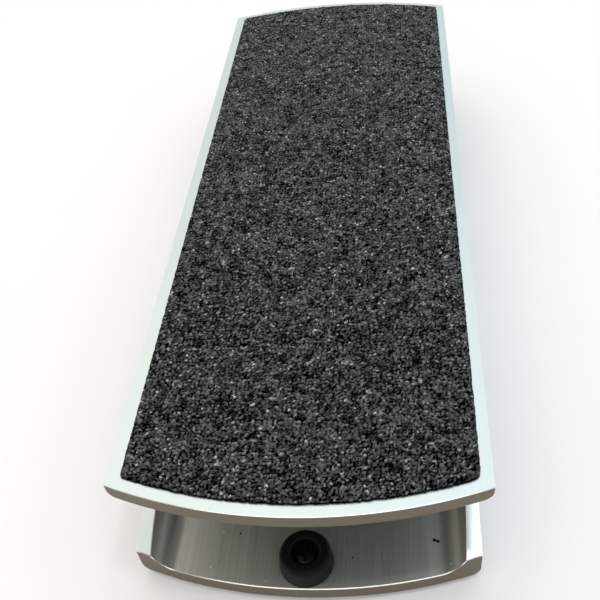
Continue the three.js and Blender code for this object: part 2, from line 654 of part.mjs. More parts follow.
// An angle under the plate: a flange screwed to it and a leg that tapers down to the pivot.
function addPivotBrackets() {
  const top = PLATE_UNDERSIDE - GAP;
  const flangeZ = top - BRACKET_FLANGE_THICKNESS;
  const ring = BRACKET_RING_RADIUS;
  const leg = new THREE.Shape();
  leg.moveTo(-BRACKET_HALF_LENGTH, top);
  leg.lineTo(-BRACKET_HALF_LENGTH, flangeZ);
  leg.lineTo(-ring, PIVOT_Z);
  leg.absarc(0, PIVOT_Z, ring, Math.PI, 2 * Math.PI, false);
  leg.lineTo(BRACKET_HALF_LENGTH, flangeZ);
  leg.lineTo(BRACKET_HALF_LENGTH, top);
  for (const [side, sign] of [["left", -1], ["right", 1]]) {
    const [x0, x1] = ordered(sign * BRACKET_INNER_X, sign * BRACKET_OUTER_X);
    const flangeX = sign * (BRACKET_OUTER_X - BRACKET_FLANGE_WIDTH / 2);
    const flange = box(
      BRACKET_FLANGE_WIDTH, 2 * BRACKET_HALF_LENGTH, BRACKET_FLANGE_THICKNESS,
      flangeX, 0, top - BRACKET_FLANGE_THICKNESS / 2,
    );
    const bore = barX(PIVOT_SCREW_RADIUS + BUSH_WALL + FIT, x0 - 1, x1 + 1, 0, PIVOT_Z);
    const screwX = sign * bracketScrewX();
    const screwHoles = [-BRACKET_SCREW_Y, BRACKET_SCREW_Y].map((y) =>
      barZ(SCREW_RADIUS + FIT, flangeZ - 1, top + 1, screwX, y, 16));
    const bracket = without(joined(prismX(leg, x0, x1), flange), bore, ...screwHoles);
    addToTreadle(`pivot_bracket_${side}`, "aluminium", bracket);
    for (const [end, y] of [["heel", -BRACKET_SCREW_Y], ["toe", BRACKET_SCREW_Y]]) {
      const screw = crossScrew(BRACKET_FLANGE_THICKNESS + PLATE_THICKNESS - 1.4).rotateX(Math.PI);
      addToTreadle(`bracket_screw_${end}_${side}`, "steel", screw.translate(screwX, y, flangeZ - GAP));
    }
    addPivotBush(side, sign);
  }
}

// A nylon bush pressed into the bracket; its flange keeps the leg off the base wall.
function addPivotBush(side, sign) {
  const inner = PIVOT_SCREW_RADIUS + FIT;
  const outer = PIVOT_SCREW_RADIUS + BUSH_WALL;
  const flangeX = sign * (BRACKET_OUTER_X + GAP);
  const bush = joined(
    tubeX(outer, inner, ...ordered(sign * BRACKET_INNER_X, flangeX + sign * 0.2), 0, PIVOT_Z, 20),
    tubeX(BUSH_FLANGE_RADIUS, inner, ...ordered(flangeX, flangeX + sign * BUSH_FLANGE), 0, PIVOT_Z, 20),
  );
  addToTreadle(`pivot_bush_${side}`, "nylon", bush);
}

// ---- Cord drive under the plate ----

function addCordDrive() {
  const headSeat = CORD_Z - 1.6;
  for (const [end, y] of [["heel", -ANCHOR_Y], ["toe", ANCHOR_Y]]) {
    const screw = crossScrew(PLATE_UNDERSIDE - headSeat + PLATE_THICKNESS - 1.4).rotateX(Math.PI);
    addToTreadle(`cord_anchor_screw_${end}`, "steel", screw.translate(0, y, headSeat));
  }
  const toeEnd = ANCHOR_Y - SCREW_RADIUS - CORD_RADIUS - 0.3;
  addCordRun("drive_cord_toe_run", CORD_SPACING, -1, toeEnd);
  const springEye = -ANCHOR_Y + SPRING_LENGTH;
  addCordRun("drive_cord_heel_run", -CORD_SPACING, 1, springEye + 0.8);
  addTensionSpring(springEye);
}

// One straight run from the pulley's top to y = farY, in line with the anchors at its far end.
function addCordRun(name, x, nearY, farY) {
  const direction = Math.sign(farY);
  const points = [
    new THREE.Vector3(x, nearY, CORD_Z),
    new THREE.Vector3(x, direction * 8, CORD_Z),
    new THREE.Vector3(x * 0.3, (nearY + farY) / 2, CORD_Z),
    new THREE.Vector3(0, farY, CORD_Z),
  ];
  addToTreadle(name, "cord", rod(points, CORD_RADIUS, 8, 10));
}

// A closed-wound extension spring from the heel anchor to the cord.
function addTensionSpring(eyeY) {
  const start = -ANCHOR_Y + SCREW_RADIUS + SPRING_WIRE_RADIUS + 0.3;
  const coilStart = start + 2.5;
  const coilEnd = eyeY - 2.5;
  const points = [new THREE.Vector3(0, start, CORD_Z)];
  const steps = SPRING_TURNS * SPRING_POINTS;
  for (let i = 0; i <= steps; i++) {
    const angle = (2 * Math.PI * i) / SPRING_POINTS;
    const y = THREE.MathUtils.lerp(coilStart, coilEnd, i / steps);
    points.push(new THREE.Vector3(
      SPRING_COIL_RADIUS * Math.sin(angle), y, CORD_Z + SPRING_COIL_RADIUS * Math.cos(angle),
    ));
  }
  points.push(new THREE.Vector3(0, eyeY, CORD_Z));
  addToTreadle("tension_spring", "steel", rod(points, SPRING_WIRE_RADIUS, 5, steps + 8));
}

// ---- Assembly ----

addBaseChannel();
addFeet();
addBumpers();
addPivotScrews();
addPotBracket();
addPotentiometer();
addRotor();
addWires(addJack("input", 1), addJack("output", -1));
addTreadlePlate();
addGripSheet();
addPivotBrackets();
addCordDrive();

export default pedal;
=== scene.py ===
"""Looks of the treadle volume pedal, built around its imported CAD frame. Metres, the CAD's own frame."""

import json
import math

import bmesh
import bpy
import numpy as np
from mathutils import Matrix, Vector


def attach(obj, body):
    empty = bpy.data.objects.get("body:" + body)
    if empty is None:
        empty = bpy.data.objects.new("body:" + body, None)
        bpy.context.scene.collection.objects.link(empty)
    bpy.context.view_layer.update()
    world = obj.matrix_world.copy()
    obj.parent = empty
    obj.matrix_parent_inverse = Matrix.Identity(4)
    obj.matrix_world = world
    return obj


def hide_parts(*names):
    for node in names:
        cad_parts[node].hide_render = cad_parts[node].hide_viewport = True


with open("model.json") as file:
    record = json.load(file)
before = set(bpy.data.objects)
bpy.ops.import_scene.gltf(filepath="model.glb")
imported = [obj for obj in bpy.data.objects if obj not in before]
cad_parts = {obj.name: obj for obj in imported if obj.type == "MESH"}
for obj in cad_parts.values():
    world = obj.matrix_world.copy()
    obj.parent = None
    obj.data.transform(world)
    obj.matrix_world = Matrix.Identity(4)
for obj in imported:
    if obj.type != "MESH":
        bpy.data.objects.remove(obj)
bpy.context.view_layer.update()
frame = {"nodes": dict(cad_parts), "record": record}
MM = 0.001

# ---- Sizes shared with the CAD, in millimetres ----

END_RADIUS = 130.0
GRIP_MARGIN = 3.2
GRIP_OFFSET = (0.3, -0.1)
PIVOT = Vector((0, 0, 16.0))
REST_TILT = math.radians(1.6)

# ---- Camera ----

CAMERA_PLACE = Vector((24.9, -218.9, 184.8)) * MM
CAMERA_AZIMUTH = math.radians(-8.88)
CAMERA_ELEVATION = math.radians(44.18)
CAMERA_ROLL = math.radians(-7.28)
CAMERA_LENS = 47.2
CAMERA_SHIFT = (-0.025, 0.0418)


def add_camera():
    forward = Vector((
        math.sin(CAMERA_AZIMUTH) * math.cos(CAMERA_ELEVATION),
        math.cos(CAMERA_AZIMUTH) * math.cos(CAMERA_ELEVATION),
        -math.sin(CAMERA_ELEVATION),
    ))
    level_right = forward.cross(Vector((0, 0, 1))).normalized()
    level_up = level_right.cross(forward)
    right = math.cos(CAMERA_ROLL) * level_right + math.sin(CAMERA_ROLL) * level_up
    up = -math.sin(CAMERA_ROLL) * level_right + math.cos(CAMERA_ROLL) * level_up
    data = bpy.data.cameras.new("camera")
    data.lens = CAMERA_LENS
    data.sensor_width = 36.0
    data.shift_x, data.shift_y = CAMERA_SHIFT
    data.clip_start = 0.005
    camera = bpy.data.objects.new("camera", data)
    turn = Matrix((right, up, -forward)).transposed().to_4x4()
    camera.matrix_world = Matrix.Translation(CAMERA_PLACE) @ turn
    bpy.context.scene.collection.objects.link(camera)
    bpy.context.scene.camera = camera


add_camera()

# ---- Shader helpers ----


class Shader:
    """A material's node tree, with short ways to add what the looks use."""

    def __init__(self, name):
        self.material = bpy.data.materials.new(name)
        self.material.use_nodes = True
        self.tree = self.material.node_tree
        self.bsdf = self.tree.nodes["Principled BSDF"]
        self.object_place = self.tree.nodes.new("ShaderNodeTexCoord").outputs["Object"]

    def node(self, kind, **settings):
        made = self.tree.nodes.new(kind)
        for key, value in settings.items():
            setattr(made, key, value)
        return made

    def link(self, source, target):
        self.tree.links.new(source, target)

    def set(self, **values):
        for key, value in values.items():
            self.bsdf.inputs[key.replace("_", " ")].default_value = value

    def mapped(self, scale=(1, 1, 1)):
        """Object coordinates in millimetres, stretched by scale."""
        mapping = self.node("ShaderNodeMapping")
        mapping.inputs["Scale"].default_value = [s / MM for s in scale]
        self.link(self.object_place, mapping.inputs["Vector"])
        return mapping.outputs["Vector"]

    def noise(self, scale=(1, 1, 1), frequency=1.0, detail=3.0, roughness=0.5):
        made = self.node("ShaderNodeTexNoise")
        made.inputs["Scale"].default_value = frequency
        made.inputs["Detail"].default_value = detail
        made.inputs["Roughness"].default_value = roughness
        self.link(self.mapped(scale), made.inputs["Vector"])
        return made.outputs["Fac"]

    def voronoi(self, scale=(1, 1, 1), frequency=1.0, output="Distance", **settings):
        made = self.node("ShaderNodeTexVoronoi", **settings)
        made.inputs["Scale"].default_value = frequency
        self.link(self.mapped(scale), made.inputs["Vector"])
        return made.outputs[output]

    def ramp(self, source, *stops):
        """A colour ramp; each stop is (place, grey or (r, g, b))."""
        made = self.node("ShaderNodeValToRGB")
        while len(made.color_ramp.elements) < len(stops):
            made.color_ramp.elements.new(0.5)
        for element, (place, colour) in zip(made.color_ramp.elements, stops):
            element.position = place
            rgb = (colour,) * 3 if isinstance(colour, (int, float)) else colour
            element.color = (*rgb, 1)
        self.link(source, made.inputs["Fac"])
        return made.outputs["Color"]

    def span(self, source, low, high, out_low, out_high):
        made = self.node("ShaderNodeMapRange")
        for name, value in (("From Min", low), ("From Max", high), ("To Min", out_low), ("To Max", out_high)):
            made.inputs[name].default_value = value
        self.link(source, made.inputs["Value"])
        return made.outputs["Result"]

    def mix(self, factor, first, second, blend="MIX"):
        made = self.node("ShaderNodeMix", data_type="RGBA", blend_type=blend)
        for socket, value in ((made.inputs[0], factor), (made.inputs[6], first), (made.inputs[7], second)):
            if isinstance(value, bpy.types.NodeSocket):
                self.link(value, socket)
            elif isinstance(value, (int, float)):
                socket.default_value = value
            else:
                socket.default_value = (*value, 1)
        return made.outputs[2]

    def bump(self, *layers):
        """Each layer is (height source, depth in millimetres); they stack."""
        normal = None
        for source, depth in layers:
            made = self.node("ShaderNodeBump")
            made.inputs["Strength"].default_value = 1.0
            made.inputs["Distance"].default_value = depth * MM
            self.link(source, made.inputs["Height"])
            if normal is not None:
                self.link(normal, made.inputs["Normal"])
            normal = made.outputs["Normal"]
        self.link(normal, self.bsdf.inputs["Normal"])

    def blot(self, place, radius):
        """1 inside a ragged mark around a place, 0 outside it; in millimetres."""
        away = self.node("ShaderNodeVectorMath", operation="DISTANCE")
        self.link(self.mapped(), away.inputs[0])
        away.inputs[1].default_value = place
        ragged = self.node("ShaderNodeMath", operation="MULTIPLY_ADD")
        self.link(self.noise(frequency=1.3), ragged.inputs[0])
        ragged.inputs[1].default_value = radius
        self.link(away.outputs["Value"], ragged.inputs[2])
        return self.span(ragged.outputs["Value"], 1.25 * radius, 1.55 * radius, 1.0, 0.0)

    def colour(self, source):
        self.link(source, self.bsdf.inputs["Base Color"])

    def roughness(self, source):
        self.link(source, self.bsdf.inputs["Roughness"])


# ---- Materials ----


def brushed_aluminium(name, tint, shade, rough, marks=(), metallic=1.0):
    """Extruded aluminium, brushed along the pedal, with faint stains and a few dark specks.

    Each mark is a (place, radius, grey) chip or crumb, in millimetres."""
    s = Shader(name)
    s.set(Metallic=metallic)
    streaks = s.noise(scale=(2.6, 0.03, 2.6), detail=6, roughness=0.65)
    hairs = s.noise(scale=(7.0, 0.12, 7.0), detail=3)
    patches = s.noise(scale=(0.05, 0.02, 0.05), detail=4)
    specks = s.voronoi(scale=(0.16, 0.16, 0.16))
    grey = s.ramp(streaks, (0.3, shade), (0.7, tint))
    grey = s.mix(s.ramp(patches, (0.35, 0.0), (0.7, 0.5)), grey, shade)
    grey = s.mix(s.ramp(specks, (0.0, 0.8), (0.03, 0.0)), grey, (0.2, 0.19, 0.17))
    for place, radius, mark in marks:
        grey = s.mix(s.blot(place, radius), grey, (mark,) * 3)
    s.colour(grey)
    s.roughness(s.span(streaks, 0.3, 0.7, *rough))
    s.bump((streaks, 0.01), (hairs, 0.006), (patches, 0.04))
    return s.material


def sawn_aluminium_painted_reflection():
    """The end faces: milled across and duller than the extruded skin; their dark brown is painted reflection
    of the dim surroundings in front.
    """
    s = Shader("sawn_aluminium_painted_reflection")
    s.set(Metallic=0.7)
    lines = s.noise(scale=(0.07, 0.07, 4.0), detail=5)
    cast = s.noise(scale=(0.12, 0.12, 0.12), detail=2)
    # Dark brown greys: painted reflection on the end faces; the milling lines are real.
    grey = s.ramp(lines, (0.3, (0.158, 0.131, 0.092)), (0.7, (0.205, 0.173, 0.126)))
    s.colour(s.mix(s.ramp(cast, (0.4, 0.0), (0.65, 0.5)), grey, (0.188, 0.145, 0.112)))
    s.roughness(s.span(lines, 0.3, 0.7, 0.42, 0.58))
    s.bump((lines, 0.012))
    return s.material


def grit():
    """Black mineral grit in black resin: pits painted near-black and without reflection as shade between the
    grains, grey crowns, and a few cells painted near-white as glints.
    """
    s = Shader("black_grit")
    crown = s.node("ShaderNodeAttribute", attribute_name="crown").outputs["Fac"]
    cells = s.node("ShaderNodeSeparateColor")
    s.link(s.voronoi(frequency=1.5, output="Color"), cells.inputs["Color"])
    chips = s.noise(frequency=1.6, detail=5, roughness=0.7)
    cast = s.noise(frequency=0.09, detail=2)
    # The brightest cells are painted near-white: painted glints.
    grain = s.ramp(cells.outputs["Red"], (0.0, 0.025), (0.55, 0.078), (0.9, 0.185), (0.975, 0.62))
    grain = s.mix(s.ramp(cast, (0.35, 0.0), (0.65, 1.0)), grain, (0.93, 1.06, 1.0), "MULTIPLY")
    grain = s.mix(s.ramp(chips, (0.38, 0.0), (0.62, 0.75)), grain, (0.012, 0.012, 0.013))
    # Low points are painted near-black and their reflection turned down: painted shade in the pits between
    # the grains.
    s.colour(s.mix(s.ramp(crown, (0.34, 0.0), (0.72, 1.0)), (0.0008, 0.0008, 0.0009), grain))
    s.roughness(s.span(cells.outputs["Green"], 0.0, 1.0, 0.24, 0.62))
    s.link(s.span(crown, 0.38, 0.75, 0.0, 0.7), s.bsdf.inputs["Specular IOR Level"])
    s.bump((chips, 0.22))
    return s.material


def rubber(name="black_rubber"):
    s = Shader(name)
    mottle = s.noise(frequency=0.5, detail=4)
    grain = s.noise(frequency=5.0, detail=3)
    s.colour(s.ramp(mottle, (0.3, 0.002), (0.7, 0.005)))
    s.set(Specular_IOR_Level=0.12)
    s.roughness(s.span(grain, 0.3, 0.7, 0.34, 0.52))
    s.bump((grain, 0.03), (mottle, 0.05))
    return s.material


def plated(name, tint, rough=(0.18, 0.32)):
    """Plated or turned metal with fine turning marks and slight staining."""
    s = Shader(name)
    s.set(Metallic=1.0)
    marks = s.noise(scale=(3, 3, 3), frequency=1.0, detail=4)
    stain = s.noise(frequency=0.25, detail=3)
    s.colour(s.mix(s.ramp(stain, (0.4, 0.0), (0.75, 0.6)), tint, [c * 0.72 for c in tint]))
    s.roughness(s.span(marks, 0.3, 0.7, *rough))
    s.bump((marks, 0.01))
    return s.material


def plastic(name, tint, rough=(0.3, 0.45), dark=0.75):
    s = Shader(name)
    mottle = s.noise(frequency=0.6, detail=4)
    s.colour(s.ramp(mottle, (0.3, [c * dark for c in tint]), (0.7, tint)))
    s.roughness(s.span(mottle, 0.3, 0.7, *rough))
    s.bump((mottle, 0.02))
    return s.material


def braid():
    """Woven cord: two sets of strands crossing at a slant."""
    s = Shader("braided_cord")
    waves = []
    for slant in (1, -1):
        wave = s.node("ShaderNodeTexWave", wave_type="BANDS", bands_direction="DIAGONAL")
        wave.inputs["Scale"].default_value = 0.5
        s.link(s.mapped((slant * 3.0, 2.2, 3.0)), wave.inputs["Vector"])
        waves.append(wave.outputs["Fac"])
    weave = s.mix(0.5, waves[0], waves[1])
    s.colour(s.ramp(weave, (0.25, (0.33, 0.3, 0.22)), (0.7, (0.72, 0.68, 0.56))))
    s.set(Roughness=0.8)
    s.bump((weave, 0.08))
    return s.material


LOOKS = {
    # The satin's grey is the metal's own; its slight blue-green cast is painted reflection of cool light.
    "satin_aluminium": brushed_aluminium(
        "satin_aluminium", (0.61, 0.66, 0.65), (0.565, 0.615, 0.605), (0.28, 0.38)),
    "grit_sheet": grit(),
    "black_rubber": rubber(),
    "zinc_steel": plated("zinc_steel", (0.58, 0.59, 0.6)),
    "black_steel": plated("black_steel", (0.03, 0.03, 0.031), (0.3, 0.45)),
    "nickel_plate": plated("nickel_plate", (0.7, 0.67, 0.61), (0.12, 0.25)),
    "brass": plated("turned_brass", (0.72, 0.53, 0.25)),
    "nylon": plastic("nylon", (0.8, 0.78, 0.7), dark=0.93),
    "phenolic": plastic("phenolic", (0.22, 0.1, 0.04)),
    "drive_cord": braid(),
    "red_insulation": plastic("red_insulation", (0.5, 0.02, 0.015), (0.2, 0.35)),
    "black_insulation": plastic("black_insulation", (0.02, 0.02, 0.022), (0.2, 0.35)),
}
SLOTS = {row["node"]: row["material_slot"] for row in frame["record"]["subparts"]}

FLOOR_MARKS = (
    ((31.8, -114.8, 5.8), 0.5, 0.015),
    ((32.7, -115.1, 5.8), 0.45, 0.015),
    ((11.4, -119.9, 5.8), 0.25, 0.04),
    ((-17.9, -113.5, 5.8), 0.28, 0.04),
    ((-22.3, -113.2, 5.8), 0.22, 0.8),
    ((-24.3, -123, 5.8), 0.22, 0.9),
    ((-9.9, -126.5, 5.8), 0.22, 0.9),
    ((35.5, -121.5, 6.4), 0.25, 0.95),
)
# A darker, warmer copy of the satin aluminium for the channel's inside; its darkness is painted shade under
# the treadle. The chips and specks of FLOOR_MARKS are real marks.
INNER_ALUMINIUM_PAINTED_SHADE = brushed_aluminium(
    "inner_aluminium_painted_shade", (0.58, 0.56, 0.5), (0.42, 0.41, 0.37), (0.38, 0.5), FLOOR_MARKS, 0.95)
SAWN_ALUMINIUM_PAINTED_REFLECTION = sawn_aluminium_painted_reflection()
# Broken edges: polished smoother than the skin, and painted much brighter, a painted highlight line along
# each edge.
EDGE_ALUMINIUM_PAINTED_HIGHLIGHT = brushed_aluminium("edge_aluminium_painted_highlight", (0.9, 0.9, 0.87), (0.84, 0.84, 0.81), (0.16, 0.24))
EDGE_WIDTH = 0.12  # broken edge of the small metal pieces

BEVELLED = ("zinc_steel", "black_steel", "nickel_plate", "brass", "satin_aluminium", "phenolic")

for node_name, node in frame["nodes"].items():
    node.data.materials.clear()
    node.data.materials.append(LOOKS[SLOTS[node_name]])
    node.data.shade_smooth()
    node.data.set_sharp_from_angle(angle=math.radians(35))
    if SLOTS[node_name] in BEVELLED:
        edge = node.modifiers.new("broken_edges", "BEVEL")
        edge.width = EDGE_WIDTH * MM
        edge.segments = 2
        edge.limit_method = "ANGLE"
        edge.angle_limit = math.radians(40)
        edge.harden_normals = True

# ---- Mesh helpers ----


def arc_reach(x, half_length, radius):
    """How far an end arc lies from the middle, at each x."""
    return half_length - radius + np.sqrt(radius**2 - x**2)


def grid_faces(columns, rows):
    index = np.arange(columns * rows).reshape(columns, rows)
    a, b = index[:-1, :-1].ravel(), index[1:, :-1].ravel()
    c, d = index[1:, 1:].ravel(), index[:-1, 1:].ravel()
    return np.column_stack((a, b, c, d)), index


def mesh_piece(name, vertices, faces, materials, tilted=False, kinds=None):
    """A mesh object from points in millimetres, turned into the treadle's stored pose if tilted."""
    mesh = bpy.data.meshes.new(name)
    points = np.asarray(vertices, float)
    if tilted:
        c, s = math.cos(REST_TILT), math.sin(REST_TILT)
        y, z = points[:, 1] - PIVOT.y, points[:, 2] - PIVOT.z
        points = np.column_stack((points[:, 0], PIVOT.y + c * y - s * z, PIVOT.z + s * y + c * z))
    mesh.from_pydata((points * MM).tolist(), [], [list(map(int, f)) for f in faces])
    for material in materials:
        mesh.materials.append(material)
    if kinds is not None:
        mesh.polygons.foreach_set("material_index", np.asarray(kinds, np.int32))
    mesh.update()
    mesh.shade_smooth()
    piece = bpy.data.objects.new(name, mesh)
    bpy.context.scene.collection.objects.link(piece)
    return piece


def inset_loop(loop, depth):
    """A closed outline, moved inwards; its points run anticlockwise."""
    ahead = np.roll(loop, -1, 0) - loop
    ahead /= np.maximum(np.linalg.norm(ahead, axis=1, keepdims=True), 1e-6)
    turn = ahead + np.roll(ahead, 1, 0)
    inward = np.column_stack((-turn[:, 1], turn[:, 0]))
    inward /= np.linalg.norm(inward, axis=1, keepdims=True)
    along = np.column_stack((-ahead[:, 1], ahead[:, 0]))
    return loop + inward * depth / np.clip((inward * along).sum(1, keepdims=True), 0.5, 1)


def full_loop(outer, inner):
    """Both halves of a section, from the right half's outer and inner chains."""
    flip = np.array([-1, 1])
    return np.vstack((outer, inner[::-1], (inner * flip)[1:], (outer * flip)[:0:-1]))


def bar_piece(name, station, half_length, chamfer, stations, kind_of, materials, tilted=False):
    """A bar along Y with bowed ends and broken edges; station(y) gives its section's two chains.

    The last two materials are those of the broken edges and of the end faces."""
    edge_kind, end_kind = len(materials) - 2, len(materials) - 1
    rings = []
    for t in np.linspace(-1, 1, stations):
        loop = full_loop(*station(t * (half_length - 7)))
        y = t * (arc_reach(loop[:, 0], half_length, END_RADIUS) - chamfer)
        rings.append(np.column_stack((loop[:, 0], y, loop[:, 1])))
    for sign in (-1, 1):
        outer, inner = station(sign * (half_length - 7))
        loop = inset_loop(full_loop(outer, inner), chamfer)
        y = sign * arc_reach(loop[:, 0], half_length, END_RADIUS)
        ring = np.column_stack((loop[:, 0], y, loop[:, 1]))
        rings = [ring, *rings] if sign < 0 else [*rings, ring]
    count = len(rings[0])
    half = (count + 2) // 4
    faces, kinds = [], []
    for r in range(len(rings) - 1):
        for k in range(count):
            n = (k + 1) % count
            faces.append((r * count + k, r * count + n, (r + 1) * count + n, (r + 1) * count + k))
            kinds.append(edge_kind if r in (0, len(rings) - 2) else kind_of(k, half))
    for first, flip in ((0, False), ((len(rings) - 1) * count, True)):
        for k in range(half - 1):
            right = (k, 2 * half - 1 - k, 2 * half - 2 - k, k + 1)
            left = ((count - k) % count, count - k - 1, 2 * half - 1 + k + 1, 2 * half - 1 + k)
            for quad in (right, left):
                corners = [first + c for c in quad]
                faces.append(corners if (quad is right) != flip else corners[::-1])
                kinds.append(end_kind)
    piece = mesh_piece(name, np.vstack(rings), faces, materials, tilted, kinds)
    tidy = bmesh.new()
    tidy.from_mesh(piece.data)
    bmesh.ops.recalc_face_normals(tidy, faces=tidy.faces)
    tidy.to_mesh(piece.data)
    tidy.free()
    piece.data.shade_smooth()
    piece.data.set_sharp_from_angle(angle=math.radians(30))
    return piece


def arc_points(centre, radius, start, stop, count):
    angle = np.radians(np.linspace(start, stop, count))
    return np.column_stack((centre[0] + radius * np.cos(angle), centre[1] + radius * np.sin(angle)))


def lathe_piece(name, profile, centre, material, sides=96):
    """A closed (radius, height) outline turned about a vertical axis through centre."""
    outline = np.asarray(profile, float)
    angle = np.linspace(0, 2 * math.pi, sides, endpoint=False)
    x = centre[0] + outline[:, :1] * np.cos(angle)
    y = centre[1] + outline[:, :1] * np.sin(angle)
    z = np.repeat(centre[2] + outline[:, 1:], sides, 1)
    vertices = np.column_stack((x.ravel(), y.ravel(), z.ravel()))
    rows = len(outline)
    faces = []
    for i in range(rows):
        for k in range(sides):
            n = (k + 1) % sides
            j = (i + 1) % rows
            faces.append((i * sides + k, i * sides + n, j * sides + n, j * sides + k))
    piece = mesh_piece(name, vertices, faces, [material])
    piece.data.set_sharp_from_angle(angle=math.radians(50))
    return piece


def rounded(corners, radii, steps=6):
    """A closed outline whose corners are rounded, each by its own radius."""
    points = []
    count = len(corners)
    for i in range(count):
        here = Vector(corners[i])
        before = (Vector(corners[i - 1]) - here).normalized()
        after = (Vector(corners[(i + 1) % count]) - here).normalized()
        if radii[i] == 0:
            points.append(tuple(here))
            continue
        start, stop = here + before * radii[i], here + after * radii[i]
        for step in range(steps + 1):
            t = step / steps
            points.append(tuple((1 - t) ** 2 * start + 2 * t * (1 - t) * here + t * t * stop))
    return points


DRILL_ROLL = Matrix.Rotation(math.radians(2), 4, "Z")  # keeps the drill's corners off the piece's edges


def drill(piece, holes):
    """Cut round holes; each is (radius, start, stop) in millimetres."""
    cutters = []
    for radius, start, stop in holes:
        start, stop = Vector(start), Vector(stop)
        turn = (stop - start).to_track_quat("Z", "Y").to_matrix().to_4x4()
        place = Matrix.Translation((start + stop) / 2 * MM) @ turn @ DRILL_ROLL
        rod = bmesh.new()
        bmesh.ops.create_cone(
            rod, cap_ends=True, segments=48, radius1=radius * MM, radius2=radius * MM,
            depth=(stop - start).length * MM, matrix=place)
        mesh = bpy.data.meshes.new("drill")
        rod.to_mesh(mesh)
        rod.free()
        cutter = bpy.data.objects.new("drill", mesh)
        bpy.context.scene.collection.objects.link(cutter)
        cutters.append(cutter)
        cut = piece.modifiers.new("hole", "BOOLEAN")
        cut.operation = "DIFFERENCE"
        cut.solver = "EXACT"
        cut.object = cutter
    bpy.context.view_layer.update()
    drilled = piece.evaluated_get(bpy.context.evaluated_depsgraph_get())
    drilled_mesh = bpy.data.meshes.new_from_object(drilled)
    piece.modifiers.clear()
    piece.data = drilled_mesh
    piece.data.set_sharp_from_angle(angle=math.radians(30))
    for cutter in cutters:
        bpy.data.meshes.remove(cutter.data)


# ---- Base channel ----

FLOOR_TOP = 5.8
BASE_BOTTOM = 1.5
BASE_HALF_WIDTH = 43.15
BASE_HALF_LENGTH = 128.6
WALL_INNER = 39.7
INNER_FILLET = 7.0
OUTER_FILLET = 2.6
WALL_END = 10.0
WALL_CORNER = BASE_HALF_LENGTH - END_RADIUS + math.sqrt(END_RADIUS**2 - BASE_HALF_WIDTH**2)
WALL_SLOPE = math.tan(math.radians(11.3))
WALL_CROWN = 30.0
WALL_BEND = 5.5
BASE_CHAMFER = 0.2
SCREW_HOLE = 1.65
PIVOT_HOLE = 3.15
JACK_HOLE = 4.85
JACK_PLACE = (60.0, 13.8)  # Y and height of both sockets
POT_SCREW_PLACE = (24.0, 5.0)
BUMPER_Y = 121.4
SPAN_POINTS = 22
ARC_POINTS = 18


def wall_top(y):
    """Height of the side walls: sloping up from the ends to a flat crown."""
    crown_y = WALL_CORNER - (WALL_CROWN - WALL_END) / WALL_SLOPE
    slope_height = WALL_END + (WALL_CORNER - abs(y)) * WALL_SLOPE
    u = min(max((crown_y + WALL_BEND - abs(y)) / (2 * WALL_BEND), 0), 1)
    foot = WALL_CROWN - WALL_BEND * WALL_SLOPE
    bend = (1 - u) ** 2 * foot + (1 - (1 - u) ** 2) * WALL_CROWN
    return slope_height if u == 0 else bend


def channel_station(y):
    top = wall_top(y)
    flat = np.linspace(0, WALL_INNER - INNER_FILLET, SPAN_POINTS)
    floor = np.column_stack((flat, np.full(SPAN_POINTS, FLOOR_TOP)))
    under = np.column_stack((flat, np.full(SPAN_POINTS, BASE_BOTTOM)))
    centre = (WALL_INNER - INNER_FILLET, FLOOR_TOP + INNER_FILLET)
    reach = min((top - BASE_CHAMFER - 0.02 - FLOOR_TOP) / INNER_FILLET, 1)
    stop = -90 + math.degrees(math.acos(1 - reach))
    fillet = arc_points(centre, INNER_FILLET, -90, stop, ARC_POINTS)[1:]
    edge_x = fillet[-1, 0]
    inner = np.vstack((floor, fillet, [[edge_x, top - BASE_CHAMFER], [edge_x + BASE_CHAMFER, top]]))
    outer_centre = (BASE_HALF_WIDTH - OUTER_FILLET, BASE_BOTTOM + OUTER_FILLET)
    skirt = arc_points(outer_centre, OUTER_FILLET, -90, 0, ARC_POINTS)[1:]
    lip = [[BASE_HALF_WIDTH, top - BASE_CHAMFER], [BASE_HALF_WIDTH - BASE_CHAMFER, top]]
    outer = np.vstack((under, skirt, lip))
    return outer, inner


def channel_kind(k, half):
    """Broken edges beside the wall tops, inner skin between them (its darker aluminium is painted shade),
    outer skin elsewhere.
    """
    if k in (half - 2, half, 3 * half - 3, 3 * half - 1):
        return 2
    return 1 if half < k < 3 * half - 3 else 0


def channel_holes():
    """The holes of the pivot screws, the sockets, the stops and the potentiometer's bracket."""
    holes = []
    for side in (-1, 1):
        for radius, (y, z) in ((PIVOT_HOLE, (0, PIVOT.z)), (JACK_HOLE, JACK_PLACE)):
            start = (side * (WALL_INNER - INNER_FILLET), y, z)
            holes.append((radius, start, (side * (BASE_HALF_WIDTH + 1), y, z)))
        for x, y in ((0, side * BUMPER_Y), (POT_SCREW_PLACE[0], side * POT_SCREW_PLACE[1])):
            holes.append((SCREW_HOLE, (x, y, BASE_BOTTOM - 1), (x, y, FLOOR_TOP + 1)))
    return holes


def add_base():
    materials = [LOOKS["satin_aluminium"], INNER_ALUMINIUM_PAINTED_SHADE, EDGE_ALUMINIUM_PAINTED_HIGHLIGHT, SAWN_ALUMINIUM_PAINTED_REFLECTION]
    piece = bar_piece(
        "channel_skin", channel_station, BASE_HALF_LENGTH, BASE_CHAMFER, 90, channel_kind, materials)
    drill(piece, channel_holes())
    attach(piece, "base")
    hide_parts("base_channel")


# ---- Treadle plate ----

PLATE_HALF_WIDTH = 44.5
PLATE_HALF_LENGTH = 126.8
PLATE_TOP = 39.75
PLATE_THICKNESS = 4.2
PLATE_ROUND = 2.2
PLATE_CHAMFER = 0.15


